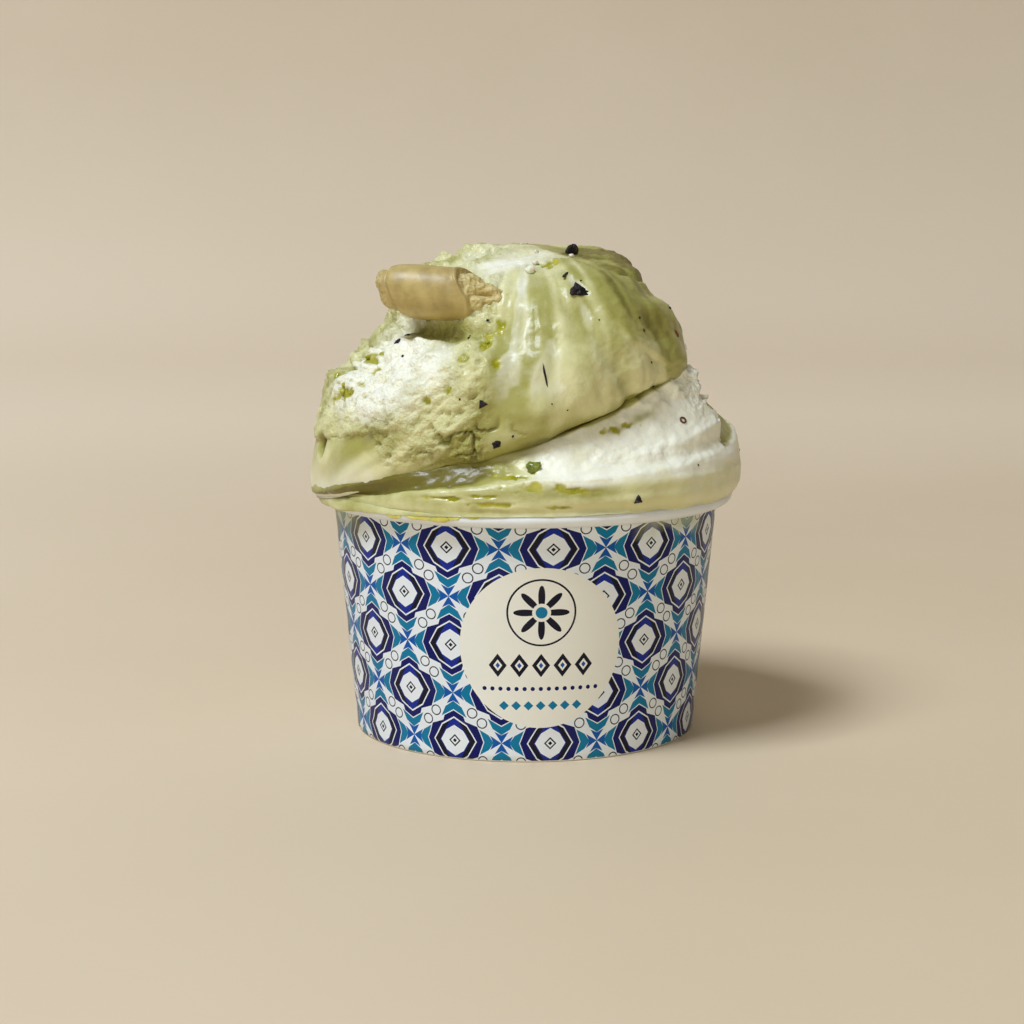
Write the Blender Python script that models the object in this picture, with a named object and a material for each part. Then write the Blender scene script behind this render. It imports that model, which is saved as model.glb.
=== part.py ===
"""A paper cup heaped with gelato: a low fold that runs round the rim, a tall fold laid over it, and a
chunk of almond paste on its shoulder.

Metres, +Z up. The origin is on the table at the middle of the cup's foot, and the front faces -Y.
Sizes below are in millimetres and degrees, and become metres where a mesh is made.
"""

import bmesh
import bpy
import numpy as np

MILLIMETRE = 0.001
GAP = 0.3
AROUND = 64

# The cup: a cone of board with a rolled rim and a folded foot, and a base set up inside the foot. The
# gelato laps over the rim from its inside (the lap angles), then turns down outside it as far as its
# lip droops.
FOOT_RADIUS = 36.9
WALL_TOP_RADIUS = 41.7
WALL_TOP = 50.2
BOARD = 0.6
RIM_RADIUS = 45.0
CUP_HEIGHT = 53.4
RIM_HALF_HEIGHT = 1.7
RIM_ANGLES = np.linspace(-70.0, 180.0, 9)
LAP_ANGLES = RIM_ANGLES[7:3:-1]
LIP_ANGLE = 40.0
LIP_TURN = 12.0
LIP_DROOP_TURN = 62.0
LIP_CLEARANCE = 0.4
BASE_HEIGHT = 5.0
BASE_THICKNESS = 0.7
HEM_THICKNESS = 1.5

# Round the gelato, each list holds eight values, at the front, front right, right, back right, back,
# back left, left and front left. A smooth closed curve joins them.
LIP_DROOP = [0.0, 0.0, 0.1, 0.1, 0.2, 0.6, 1.0, 0.6]
SIDE_RADIUS = [45.2, 45.7, 46.8, 46.2, 45.6, 46.0, 46.1, 45.6]
EDGE_RADIUS = [44.3, 44.6, 45.8, 45.2, 44.5, 45.0, 45.2, 44.6]
EDGE_HEIGHT = [59.0, 60.3, 65.2, 65.5, 61.0, 56.6, 52.6, 55.3]
CREASE_RADIUS = [38.0, 34.8, 33.4, 33.8, 36.0, 40.0, 44.6, 42.6]
CREASE_HEIGHT = [66.0, 75.2, 79.2, 76.5, 68.0, 59.4, 53.4, 57.8]
DOME_RADIUS = [42.2, 38.8, 33.6, 34.8, 41.6, 45.8, 46.7, 45.0]
DOME_LOW = [75.5, 81.5, 82.0, 81.0, 76.0, 65.0, 57.0, 63.0]
DOME_ROUNDNESS = [2.05, 2.0, 1.9, 2.0, 2.0, 2.0, 2.0, 2.05]
DOME_TOP = 105.6
SEAT_MIDDLE = 68.0

# Where the rings lie: up the low fold's side (share of its height, share of its swell), over its
# slanting face, across the seat between the folds, and up the tall fold's underside and dome (quarter
# turns in degrees).
LIP_SHARES = (0.0, 0.5, 1.0)
SIDE_RINGS = ((0.12, 0.55), (0.3, 0.95), (0.6, 1.0), (0.85, 0.75), (1.0, 0.0))
FACE_SHARES = (0.25, 0.5, 0.75)
FACE_HOLLOW = 0.4
SEAT_SHARES = (0.25, 0.5, 0.75, 1.0)
UNDERSIDE_TURNS = np.radians([25.0, 50.0, 72.0])
DOME_TURNS = np.radians(np.linspace(0.0, 84.0, 14))

# Soft ridges left by the spatula on the tall fold, and the sheet it pulled over the right shoulder.
RIDGE_COUNT = 9
RIDGE_DEPTH = 0.7
RIDGE_LEAN = 75.0
SHEET_AZIMUTH = 62.0
SHEET_WIDTH = 46.0
SHEET_RISE = 1.0
SHEET_START = 1 / 3
SHEET_END = 0.8

# The flattened shoulder that the paste lies on: its direction, its height and how far it is pressed in.
SHOULDER_AZIMUTH = -58.0
SHOULDER_WIDTH = 42.0
SHOULDER_HEIGHT = 90.0
SHOULDER_REACH = 8.5
SHOULDER_DEPTH = 4.4

# The chunk of almond paste: a flattened barrel, cut off at a slant at its outer end and drawn to a
# point at its inner end.
CHUNK_LENGTH = 30.0
CHUNK_HEIGHT = 11.6
CHUNK_DEPTH = 11.0
CHUNK_RINGS = 13
CHUNK_AROUND = 18
CHUNK_BLUNT_POWER = 6.0
CHUNK_TAPER_POWER = 1.7
CHUNK_TAPER_ROUNDING = 0.75
CHUNK_SLANT = 0.5
CHUNK_SLANT_TOP = 1.5
CHUNK_SLANT_START = 0.3
CHUNK_MIDDLE = (-16.2, -25.2, 96.0)
CHUNK_TILT = 4.0
CHUNK_TURN = -12.0


def around(values, azimuth):
    """The smooth closed curve through equally spaced values: their Fourier series, read at each azimuth."""
    count = len(values)
    waves = np.fft.rfft(values) / count
    waves[1:] *= 2
    waves[count // 2] /= 2
    orders = np.arange(len(waves))
    return np.real(np.exp(1j * np.outer(azimuth, orders)) @ waves)


def turned(radius, height, azimuth):
    """Points at these radii and heights, with the azimuth running from the front round by the right."""
    radius, height, azimuth = np.broadcast_arrays(radius, height, azimuth)
    return np.stack([radius * np.sin(azimuth), -radius * np.cos(azimuth), height], axis=-1)


def ring_azimuths():
    return np.radians(np.arange(AROUND) * 360.0 / AROUND)


def add_solid(name, rings, material, capped):
    """One closed body from rows of points, each row a ring. Capped, its first and last rings shrink to one
    point each; otherwise the last ring meets the first, as on a hollow turned form."""
    mesh = bpy.data.meshes.new(name)
    body = bmesh.new()
    rows = [[body.verts.new(point * MILLIMETRE) for point in ring] for ring in rings]
    pairs = list(zip(rows, rows[1:]))
    if capped:
        for row, ring in ((rows[0], rings[0]), (rows[-1], rings[-1])):
            tip = body.verts.new(ring.mean(axis=0) * MILLIMETRE)
            for first, second in zip(row, row[1:] + row[:1]):
                body.faces.new((tip, first, second))
    else:
        pairs.append((rows[-1], rows[0]))
    for low, high in pairs:
        for k in range(len(low)):
            after = (k + 1) % len(low)
            body.faces.new((low[k], low[after], high[after], high[k]))
    bmesh.ops.recalc_face_normals(body, faces=body.faces)
    body.to_mesh(mesh)
    body.free()
    mesh.shade_smooth()
    mesh.materials.append(material)
    solid = bpy.data.objects.new(name, mesh)
    bpy.context.scene.collection.objects.link(solid)
    return solid


def plain_material(name, colour, roughness):
    material = bpy.data.materials.new(name)
    material.use_nodes = True
    shader = material.node_tree.nodes["Principled BSDF"]
    shader.inputs["Base Color"].default_value = (*colour, 1.0)
    shader.inputs["Roughness"].default_value = roughness
    shader.inputs["Metallic"].default_value = 0.0
    return material


def wall_radius(height):
    """The cup wall's outer radius, which widens evenly from the foot to the rim."""
    return FOOT_RADIUS + (WALL_TOP_RADIUS - FOOT_RADIUS) * height / WALL_TOP


def rim_middle():
    inner = WALL_TOP_RADIUS - BOARD
    half_width = (RIM_RADIUS - inner) / 2
    return RIM_RADIUS - half_width, CUP_HEIGHT - RIM_HALF_HEIGHT, half_width


def rim_point(angle, clearance=0.0):
    """A point on the rolled rim, an ellipse, at an angle from outwards (0) over the top (90) to inwards."""
    middle_radius, middle_height, half_width = rim_middle()
    angle = np.radians(angle)
    radius = middle_radius + (half_width + clearance) * np.cos(angle)
    height = middle_height + (RIM_HALF_HEIGHT + clearance) * np.sin(angle)
    return radius, height


def make_cup_wall(material):
    """Turns the wall's outline: up the outside, round the rim, down the inside, and round the folded foot."""
    outline = [(wall_radius(0.0), 0.0), (wall_radius(WALL_TOP), WALL_TOP)]
    outline += [rim_point(angle) for angle in RIM_ANGLES]
    hem_top = BASE_HEIGHT - GAP
    outline += [(wall_radius(hem_top) - BOARD, hem_top), (wall_radius(hem_top) - HEM_THICKNESS, hem_top)]
    outline += [(wall_radius(0.0) - HEM_THICKNESS, 0.0)]
    rings = [turned(radius, height, ring_azimuths()) for radius, height in outline]
    return add_solid("cup_wall", rings, material, capped=False)


def make_cup_base(material):
    """A thin disc that rests on the folded foot, a gap inside the wall."""
    top = BASE_HEIGHT + BASE_THICKNESS
    outline = [(wall_radius(BASE_HEIGHT) - BOARD - GAP, BASE_HEIGHT), (wall_radius(top) - BOARD - GAP, top)]
    rings = [turned(radius, height, ring_azimuths()) for radius, height in outline]
    return add_solid("cup_base", rings, material, capped=True)


def seat_height(azimuth, share):
    """The face where the two folds meet: from its middle (share 0) it runs out to the crease (share 1)."""
    crease = around(CREASE_HEIGHT, azimuth)
    return SEAT_MIDDLE + (crease - SEAT_MIDDLE) * share**2


def make_lower_fold(material):
    """The gelato that fills the cup, laps over the rim and rises to a peak at the right."""
    azimuth = ring_azimuths()
    bottom = BASE_HEIGHT + BASE_THICKNESS + GAP
    inner_top = CUP_HEIGHT - RIM_HALF_HEIGHT
    rings = [turned(wall_radius(z) - BOARD - GAP, z, azimuth) for z in (bottom, inner_top)]
    for angle in LAP_ANGLES:
        rings.append(turned(*rim_point(angle, GAP), azimuth))
    droop = np.clip(around(LIP_DROOP, azimuth), 0.0, 1.0)
    for share in LIP_SHARES:
        under_angle = LIP_ANGLE - share * (LIP_TURN + LIP_DROOP_TURN * droop)
        under_radius, under_height = rim_point(under_angle, LIP_CLEARANCE)
        rings.append(turned(under_radius, under_height, azimuth))
    side, edge = around(SIDE_RADIUS, azimuth), around(EDGE_RADIUS, azimuth)
    edge_height = around(EDGE_HEIGHT, azimuth)
    for share, swell in SIDE_RINGS:
        height = under_height + (edge_height - under_height) * share
        rings.append(turned(edge + (side - edge) * swell, height, azimuth))
    crease_radius, crease_height = around(CREASE_RADIUS, azimuth), around(CREASE_HEIGHT, azimuth)
    for share in FACE_SHARES:
        radius = edge + (crease_radius - edge) * share
        hollow = np.sin(np.pi * share) * FACE_HOLLOW
        rings.append(turned(radius, edge_height + (crease_height - edge_height) * share - hollow, azimuth))
    for share in reversed(SEAT_SHARES):
        rings.append(turned(crease_radius * share, seat_height(azimuth, share), azimuth))
    return add_solid("gelato_lower", rings, material, capped=True)


def turn_from(azimuth, direction):
    """How far an azimuth is from a direction in degrees, in radians between minus and plus half a turn."""
    return (azimuth - np.radians(direction) + np.pi) % (2 * np.pi) - np.pi


def shoulder(azimuth, height):
    """How far the flattened shoulder is pressed in: a bell round its direction and its height."""
    across = turn_from(azimuth, SHOULDER_AZIMUTH) / np.radians(SHOULDER_WIDTH)
    return SHOULDER_DEPTH * np.exp(-(across**2) - ((height - SHOULDER_HEIGHT) / SHOULDER_REACH) ** 2)


def ridges(azimuth, rise):
    """How far the spatula's ridges and the pulled sheet stand out, from the azimuth and share of the rise."""
    lean = np.radians(RIDGE_LEAN) * rise
    swell = np.sin(np.pi * np.clip(rise, 0.0, 1.0)) ** 2
    wave = RIDGE_DEPTH * swell * np.sin(RIDGE_COUNT * (azimuth + lean))
    across = turn_from(azimuth, SHEET_AZIMUTH) / np.radians(SHEET_WIDTH)
    coming = np.clip(rise / SHEET_START - 1, 0.0, 1.0)
    going = np.clip((1 - rise) / (1 - SHEET_END), 0.0, 1.0)
    return wave + SHEET_RISE * np.exp(-(across**4)) * coming * going


def make_upper_fold(material):
    """The tall fold: its underside follows the seat, its side rolls out from the crease, and its top is a
    rounded dome whose every upright section is a quarter of a superellipse."""
    azimuth = ring_azimuths()
    crease_radius, crease_height = around(CREASE_RADIUS, azimuth), around(CREASE_HEIGHT, azimuth)
    widest, low = around(DOME_RADIUS, azimuth), around(DOME_LOW, azimuth)
    power = 2 / around(DOME_ROUNDNESS, azimuth)
    rings = [turned(crease_radius * s, seat_height(azimuth, s) + GAP, azimuth) for s in SEAT_SHARES]
    for turn in UNDERSIDE_TURNS:
        height = low - (low - crease_height - GAP) * np.cos(turn)
        radius = crease_radius + (widest - crease_radius) * np.sin(turn)
        rings.append(turned(radius - shoulder(azimuth, height), height, azimuth))
    for turn in DOME_TURNS:
        rise = np.sin(turn)
        height = low + (DOME_TOP - low) * rise**power
        radius = widest * np.cos(turn) ** power + ridges(azimuth, rise) * np.cos(turn)
        rings.append(turned(radius - shoulder(azimuth, height), height, azimuth))
    return add_solid("gelato_upper", rings, material, capped=True)


def make_chunk(name, material, clearance=0.0):
    """A barrel of paste laid on the shoulder: each ring is an ellipse, and towards the outer end the rings
    lean in at the bottom."""
    along = np.linspace(-1.0, 1.0, CHUNK_RINGS + 2)[1:-1]
    angle = np.radians(np.arange(CHUNK_AROUND) * 360.0 / CHUNK_AROUND)
    blunt = (1 - np.abs(np.clip(along, -1, 0)) ** CHUNK_BLUNT_POWER) ** 0.5
    girth = blunt * (1 - np.clip(along, 0, 1) ** CHUNK_TAPER_POWER) ** CHUNK_TAPER_ROUNDING
    leaning = CHUNK_SLANT * np.clip((-along - CHUNK_SLANT_START) / (1 - CHUNK_SLANT_START), 0, 1)
    rings = []
    for place, size, lean in zip(along, girth, leaning):
        depth = np.cos(angle) * (size * CHUNK_DEPTH / 2 + clearance)
        height = np.sin(angle) * (size * CHUNK_HEIGHT / 2 + clearance)
        length = place * (CHUNK_LENGTH / 2 + clearance) + lean * np.maximum(CHUNK_SLANT_TOP - height, 0.0)
        rings.append(np.stack([length, depth, height], axis=-1))
    chunk = add_solid(name, np.array(rings), material, capped=True)
    chunk.location = [value * MILLIMETRE for value in CHUNK_MIDDLE]
    chunk.rotation_euler = (0.0, np.radians(CHUNK_TILT), np.radians(CHUNK_TURN))
    return chunk


def press_in(solid, chunk):
    """Leaves the chunk's print in the gelato under it, a gap larger than the chunk all round."""
    chunk.hide_render = True
    chunk.display_type = "WIRE"
    cut = solid.modifiers.new("print", "BOOLEAN")
    cut.operation = "DIFFERENCE"
    cut.object = chunk


def clear_scene():
    for item in list(bpy.data.objects):
        bpy.data.objects.remove(item)


clear_scene()
board = plain_material("printed_board", (0.33, 0.42, 0.55), 0.45)
gelato = plain_material("pale_green_gelato", (0.72, 0.70, 0.42), 0.35)
paste = plain_material("almond_paste", (0.55, 0.45, 0.22), 0.5)
make_cup_wall(board)
make_cup_base(board)
make_lower_fold(gelato)
upper_fold = make_upper_fold(gelato)
make_chunk("almond_chunk", paste)
press_in(upper_fold, make_chunk("chunk_print", paste, GAP))
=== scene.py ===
import math
from functools import partialmethod

import bpy
import numpy as np
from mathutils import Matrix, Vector


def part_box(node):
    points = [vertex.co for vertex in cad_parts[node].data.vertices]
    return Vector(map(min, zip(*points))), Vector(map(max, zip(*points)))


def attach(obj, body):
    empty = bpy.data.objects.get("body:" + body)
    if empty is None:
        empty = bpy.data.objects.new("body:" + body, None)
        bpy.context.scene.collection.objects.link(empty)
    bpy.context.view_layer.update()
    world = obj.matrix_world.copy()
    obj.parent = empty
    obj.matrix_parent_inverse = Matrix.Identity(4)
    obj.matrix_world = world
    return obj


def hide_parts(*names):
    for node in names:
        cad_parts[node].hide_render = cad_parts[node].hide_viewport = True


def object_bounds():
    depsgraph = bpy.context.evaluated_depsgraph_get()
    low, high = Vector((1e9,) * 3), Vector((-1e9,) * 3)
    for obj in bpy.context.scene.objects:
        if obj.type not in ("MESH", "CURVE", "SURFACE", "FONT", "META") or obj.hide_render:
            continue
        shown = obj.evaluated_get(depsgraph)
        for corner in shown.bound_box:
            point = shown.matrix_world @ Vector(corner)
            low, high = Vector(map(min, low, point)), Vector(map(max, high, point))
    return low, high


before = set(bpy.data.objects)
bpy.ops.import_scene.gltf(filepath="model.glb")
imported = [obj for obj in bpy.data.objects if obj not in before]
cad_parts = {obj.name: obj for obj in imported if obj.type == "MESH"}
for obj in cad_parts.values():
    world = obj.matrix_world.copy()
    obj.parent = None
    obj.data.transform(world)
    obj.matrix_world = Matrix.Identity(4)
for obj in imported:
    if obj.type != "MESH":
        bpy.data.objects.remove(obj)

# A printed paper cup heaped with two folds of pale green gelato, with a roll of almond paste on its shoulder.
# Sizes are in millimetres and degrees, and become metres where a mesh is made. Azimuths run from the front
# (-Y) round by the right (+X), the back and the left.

MILLIMETRE = 0.001
CAD_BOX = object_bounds()
BOX_LOW, BOX_HIGH = (np.array(corner) / MILLIMETRE for corner in CAD_BOX)
# Kept clear between neighbouring solids, as in the frame.
GAP = 0.3

# The cup, measured on its frame node: the wall widens evenly up to the rolled rim.
RIM_RADIUS, _, CUP_HEIGHT = np.array(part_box("cup_wall")[1]) / MILLIMETRE
RIM_HALF_HEIGHT = 1.7
BOARD = 0.6
WALL_TOP = CUP_HEIGHT - 3.2
WALL_TOP_RADIUS = RIM_RADIUS - 3.3
FOOT_RADIUS = RIM_RADIUS - 8.1
BASE_LOW, BASE_HIGH = (np.array(corner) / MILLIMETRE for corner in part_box("cup_base"))
HEM_THICKNESS = 1.5
FOOT_ROUND = 0.35

# Round the gelato, each list holds eight values, at the front, front right, right, back right, back, back
# left, left and front left. A smooth closed curve joins them.
LIP_DROOP = [0, 0, 0.1, 0.1, 0.2, 0.6, 1, 0.6]
SIDE_RADIUS = [45.2, 45.7, 46.8, 46.2, 45.6, 46, 46.1, 45.6]
EDGE_RADIUS = [44.3, 44.6, 45.8, 45.2, 44.5, 45, 45.2, 44.6]
EDGE_HEIGHT = [59, 60.3, 65.2, 65.5, 61, 56.6, 52.6, 55.3]
CREASE_RADIUS = [38, 34.8, 33.4, 33.8, 36, 40, 44.6, 42.6]
CREASE_HEIGHT = [66, 75.2, 79.2, 76.5, 68, 59.4, 53.4, 57.8]
DOME_RADIUS = [42.2, 38.8, 33.6, 34.8, 41.6, 45.8, 46.7, 45]
DOME_LOW = [75.5, 81.5, 82, 81, 76, 65, 57, 63]
DOME_ROUNDNESS = [2.05, 2, 1.9, 2, 2, 2, 2, 2.05]
DOME_TOP = BOX_HIGH[2] - 0.3
SEAT_MIDDLE = 68


# Numbers that vary over a surface.

def ease(value, low, high):
    """0 at low and 1 at high, with a smooth step between. Low may be the greater of the two."""
    share = np.clip((value - low) / (high - low), 0, 1)
    return share * share * (3 - 2 * share)


def span(value, low, risen, falling, high):
    """0 up to low, 1 from risen to falling, and 0 again past high."""
    return ease(value, low, risen) * ease(value, high, falling)


def bell(value, width):
    """1 at 0, falling to a third at the width on either side."""
    return np.exp(-((value / width) ** 2))


def around(values, azimuth):
    """The smooth closed curve through equally spaced values: their Fourier series, read at each azimuth."""
    count = len(values)
    waves = np.fft.rfft(values) / count
    waves[1:] *= 2
    waves[count // 2] /= 2
    return np.real(np.exp(1j * np.multiply.outer(azimuth, np.arange(len(waves)))) @ waves)


def scrambled(cells, seed):
    """A number from -1 to 1 for each whole-number place, by multiplying and folding its three coordinates."""
    mixed = (cells @ np.array([374761393, 668265263, 974634777]) + seed * 1442695041) & 0xFFFFFFFF
    mixed = ((mixed ^ (mixed >> 15)) * 2246822519) & 0xFFFFFFFF
    mixed = ((mixed ^ (mixed >> 13)) * 3266489917) & 0xFFFFFFFF
    return ((mixed ^ (mixed >> 16)) & 0xFFFF) / 32767.5 - 1


def noise(places, seed=0):
    """Smooth noise from -1 to 1: scrambled values at whole-number places, eased between along each axis."""
    base = np.floor(places).astype(np.int64)
    share = places - base
    share = share**3 * (share * (share * 6 - 15) + 10)
    total = 0
    for corner in np.ndindex(2, 2, 2):
        weight = np.prod(np.where(corner, share, 1 - share), axis=-1)
        total = total + weight * scrambled(base + corner, seed)
    return total


def layered(places, layers, seed=0):
    """Noise on noise: each layer is half as wide and half as strong as the one before."""
    return sum(noise(places * 2**k, seed + k) / 2**k for k in range(layers))


def dots(places, seed=0):
    """How far each place is from the nearest of the points scattered one to a unit cell."""
    base = np.floor(places).astype(np.int64)
    nearest = np.full(places.shape[:-1], 9)
    for step in np.ndindex(3, 3, 3):
        cell = base + step - np.array([1, 1, 1])
        jitter = np.stack([scrambled(cell, seed + k) for k in range(3)], axis=-1)
        nearest = np.minimum(nearest, np.linalg.norm(places - cell - 0.5 - 0.42 * jitter, axis=-1))
    return nearest


def crest(value):
    """1 where a noise crosses zero, falling to -1 where it is strongest: rounded ridges."""
    return 1 - 2 * np.sqrt(value**2 + 0.008)


def as_points(*coordinates):
    """Points whose coordinates are these arrays, spread out to one shape."""
    return np.stack(np.broadcast_arrays(*coordinates), axis=-1)


def turned(radius, height, azimuth):
    """Points at these radii, heights and azimuths."""
    return as_points(radius * np.sin(azimuth), -radius * np.cos(azimuth), height)


def ring_azimuths(columns):
    return np.arange(columns) * 2 * np.pi / columns


def normals_of(points):
    """Unit normals of a closed grid, from the cross product of its steps along the ring and between rings."""
    along = np.roll(points, -1, axis=1) - np.roll(points, 1, axis=1)
    between = np.gradient(points, axis=0)
    normal = np.cross(along, between)
    return normal / np.maximum(np.linalg.norm(normal, axis=-1, keepdims=True), 1e-9)


# Meshes from grids.

def grid_faces(rows, columns, first, tips, joined):
    """Corner numbers of a closed grid's four-sided faces, and of the three-sided ones round its two tips."""
    row = np.arange(rows if joined else rows - 1)[:, None]
    column = np.arange(columns)[None, :]
    after, above = (column + 1) % columns, (row + 1) % rows
    low, high = row * columns, above * columns
    quads = as_points(low + column, low + after, high + after, high + column).reshape(-1, 4) + first
    if not tips:
        return quads, np.zeros((0, 3), int)
    ring, last, tip = np.arange(columns), (rows - 1) * columns, rows * columns
    after = (ring + 1) % columns
    low, high = as_points(tip, after, ring), as_points(tip + 1, last + ring, last + after)
    return quads, np.concatenate([low, high]) + first


def grid_piece(name, grids, materials, tips=True, joined=False, attributes=None, chart=None, rows_of=None,
               flat=False):
    """One mesh from grids of points, each rows x columns x 3 and closed round its columns.

    With tips, the first and last rows are drawn together to a point each; joined, the last row meets the
    first. The attributes are numbers for each point of the one grid. The chart gives its points' places on
    the UV map, with the column past the last. rows_of holds the material number of each row of faces.
    """
    points, quads, triangles, first = [], [], [], 0
    for grid in grids:
        rows, columns = grid.shape[:2]
        four, three = grid_faces(rows, columns, first, tips, joined)
        parts = [grid.reshape(-1, 3)]
        if tips:
            parts += [grid[:1].mean(axis=1), grid[-1:].mean(axis=1)]
        points += parts
        quads.append(four)
        triangles.append(three)
        first += sum(len(part) for part in parts)
    points, quads, triangles = (np.concatenate(items) for items in (points, quads, triangles))
    mesh = bpy.data.meshes.new(name)
    mesh.vertices.add(len(points))
    mesh.vertices.foreach_set("co", (points * MILLIMETRE).astype(np.float32).ravel())
    corners = np.concatenate([quads.ravel(), triangles.ravel()])
    starts = np.concatenate([np.arange(len(quads)) * 4, len(quads) * 4 + np.arange(len(triangles)) * 3])
    mesh.loops.add(len(corners))
    mesh.loops.foreach_set("vertex_index", corners.astype(np.int32))
    mesh.polygons.add(len(starts))
    mesh.polygons.foreach_set("loop_start", starts.astype(np.int32))
    for material in materials:
        mesh.materials.append(material)
    if rows_of is not None:
        numbers = np.repeat(rows_of, grids[0].shape[1])
        mesh.polygons.foreach_set("material_index", numbers.astype(np.int32))
    mesh.update(calc_edges=True)
    mesh.validate()
    for key, values in (attributes or {}).items():
        at_tips = [values[0].mean(), values[-1].mean()] if tips else []
        filled = np.concatenate([values.ravel(), at_tips])
        layer = mesh.attributes.new(key, "FLOAT", "POINT")
        layer.data.foreach_set("value", filled.astype(np.float32))
    if chart is not None:
        set_chart(mesh, chart, joined)
    if flat:
        mesh.shade_flat()
    else:
        mesh.shade_smooth()
    piece = bpy.data.objects.new(name, mesh)
    bpy.context.scene.collection.objects.link(piece)
    return piece


def set_chart(mesh, chart, joined):
    """Writes the UV map of a closed grid with no tips, corner by corner, so that it has one clean seam."""
    rows = chart.shape[0] if joined else chart.shape[0] - 1
    low, high = chart[:rows], np.roll(chart, -1, axis=0)[:rows]
    corners = np.stack([low[:, :-1], low[:, 1:], high[:, 1:], high[:, :-1]], axis=2)
    layer = mesh.uv_layers.new(name="chart")
    layer.uv.foreach_set("vector", corners.astype(np.float32).ravel())


def within_box(points):
    """Keeps what stands out furthest inside the frame's box."""
    return np.clip(points, BOX_LOW + 0.02, BOX_HIGH - 0.02)


def settle(piece, slot=None, *nodes):
    """Rides the piece on the cup, hiding the nodes that it stands for. The record's finish that it takes,
    slot, is not used.
    """
    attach(piece, "root")
    if nodes:
        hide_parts(*nodes)
    return piece


# Shader building blocks.

def ink(red, green, blue):
    """A screen colour, 0 to 255, as the shader's linear one."""
    share = np.array([red, green, blue]) / 255
    linear = np.where(share > 0.04045, ((share + 0.055) / 1.055) ** 2.4, share / 12.92)
    return (*linear, 1)


class Value:
    """A number that varies over the surface. Arithmetic on it adds Math nodes to its tree."""

    def __init__(self, tree, source):
        self.tree = tree
        self.source = source

    def math(self, operation, *others):
        node = self.tree.nodes.new("ShaderNodeMath")
        node.operation = operation
        for socket, item in zip(node.inputs, (self, *others)):
            if isinstance(item, Value):
                self.tree.links.new(item.source, socket)
            else:
                socket.default_value = item
        return Value(self.tree, node.outputs[0])

    def length(self, other):
        """The distance whose two legs are this value and the other."""
        return (self * self + other * other).math("SQRT")

    def repeat(self, width):
        """The distance to the nearest multiple of a width."""
        return abs((abs(self) / width + 0.5).math("FRACT") - 0.5) * width

    def smooth(self, low, high):
        node = self.tree.nodes.new("ShaderNodeMapRange")
        node.interpolation_type = "SMOOTHSTEP"
        self.tree.links.new(self.source, node.inputs["Value"])
        node.inputs["From Min"].default_value = low
        node.inputs["From Max"].default_value = high
        return Value(self.tree, node.outputs["Result"])


# Python's signs on a Value: & keeps the smaller of two, which is where two masks overlap, and | the greater.
for sign, operation in (("add", "ADD"), ("sub", "SUBTRACT"), ("mul", "MULTIPLY"), ("truediv", "DIVIDE"),
                        ("lt", "LESS_THAN"), ("gt", "GREATER_THAN"), ("and", "MINIMUM"), ("or", "MAXIMUM"),
                        ("abs", "ABSOLUTE")):
    setattr(Value, f"__{sign}__", partialmethod(Value.math, operation))


def mixed(tree, share, first, second):
    """The colour between two, each a socket or a plain colour, by a share."""
    node = tree.nodes.new("ShaderNodeMix")
    node.data_type = "RGBA"
    tree.links.new(share.source, node.inputs["Factor"])
    for socket, item in ((node.inputs[6], first), (node.inputs[7], second)):
        if isinstance(item, bpy.types.NodeSocket):
            tree.links.new(item, socket)
        else:
            socket.default_value = item
    return node.outputs[2]


def texture_noise(tree, places, scale, detail=3):
    node = tree.nodes.new("ShaderNodeTexNoise")
    node.inputs["Scale"].default_value = scale
    node.inputs["Detail"].default_value = detail
    tree.links.new(places, node.inputs["Vector"])
    return Value(tree, node.outputs["Fac"])


def split(tree, places):
    """The first two of three coordinates."""
    node = tree.nodes.new("ShaderNodeSeparateXYZ")
    tree.links.new(places, node.inputs["Vector"])
    return Value(tree, node.outputs["X"]), Value(tree, node.outputs["Y"])


def object_places(tree):
    return tree.nodes.new("ShaderNodeTexCoord").outputs["Object"]


def attribute(tree, name):
    node = tree.nodes.new("ShaderNodeAttribute")
    node.attribute_name = name
    return Value(tree, node.outputs["Fac"])


def new_group(name, inputs, outputs):
    """A node group with named inputs and outputs, each name with its socket's kind."""
    group = bpy.data.node_groups.new(name, "ShaderNodeTree")
    for direction, sockets in (("INPUT", inputs), ("OUTPUT", outputs)):
        for label, kind in sockets.items():
            group.interface.new_socket(label, in_out=direction, socket_type="NodeSocket" + kind)
    return group, group.nodes.new("NodeGroupInput").outputs, group.nodes.new("NodeGroupOutput").inputs


def new_material(name, **settings):
    """A Principled material and its shader. Settings name the shader's inputs, with _ for each space."""
    material = bpy.data.materials.new(name)
    material.use_nodes = True
    shader = material.node_tree.nodes["Principled BSDF"]
    for key, value in settings.items():
        shader.inputs[key.replace("_", " ")].default_value = value
    return material, material.node_tree, shader


def dress(tree, shader, colour, height, distance, roughness=None):
    """Feeds the shader its colour, a height in units of a distance in metres as a bump, and its roughness."""
    tree.links.new(colour, shader.inputs["Base Color"])
    bump = tree.nodes.new("ShaderNodeBump")
    bump.inputs["Distance"].default_value = distance
    tree.links.new(height.source, bump.inputs["Height"])
    tree.links.new(bump.outputs["Normal"], shader.inputs["Normal"])
    if roughness:
        tree.links.new(roughness.source, shader.inputs["Roughness"])


def fine_grain_group():
    """Two noises on the object: a soft mottle millimetres wide, and a fine grain under a millimetre."""
    group, given, out = new_group("fine_grain", {"Mottle Scale": "Float", "Grain Scale": "Float"},
                                  {"Mottle": "Float", "Grain": "Float"})
    places = object_places(group)
    for label in ("Mottle", "Grain"):
        field = texture_noise(group, places, 1, 4)
        group.links.new(given[label + " Scale"], field.source.node.inputs["Scale"])
        group.links.new(field.source, out[label])
    return group


GRAIN = fine_grain_group()


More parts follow.
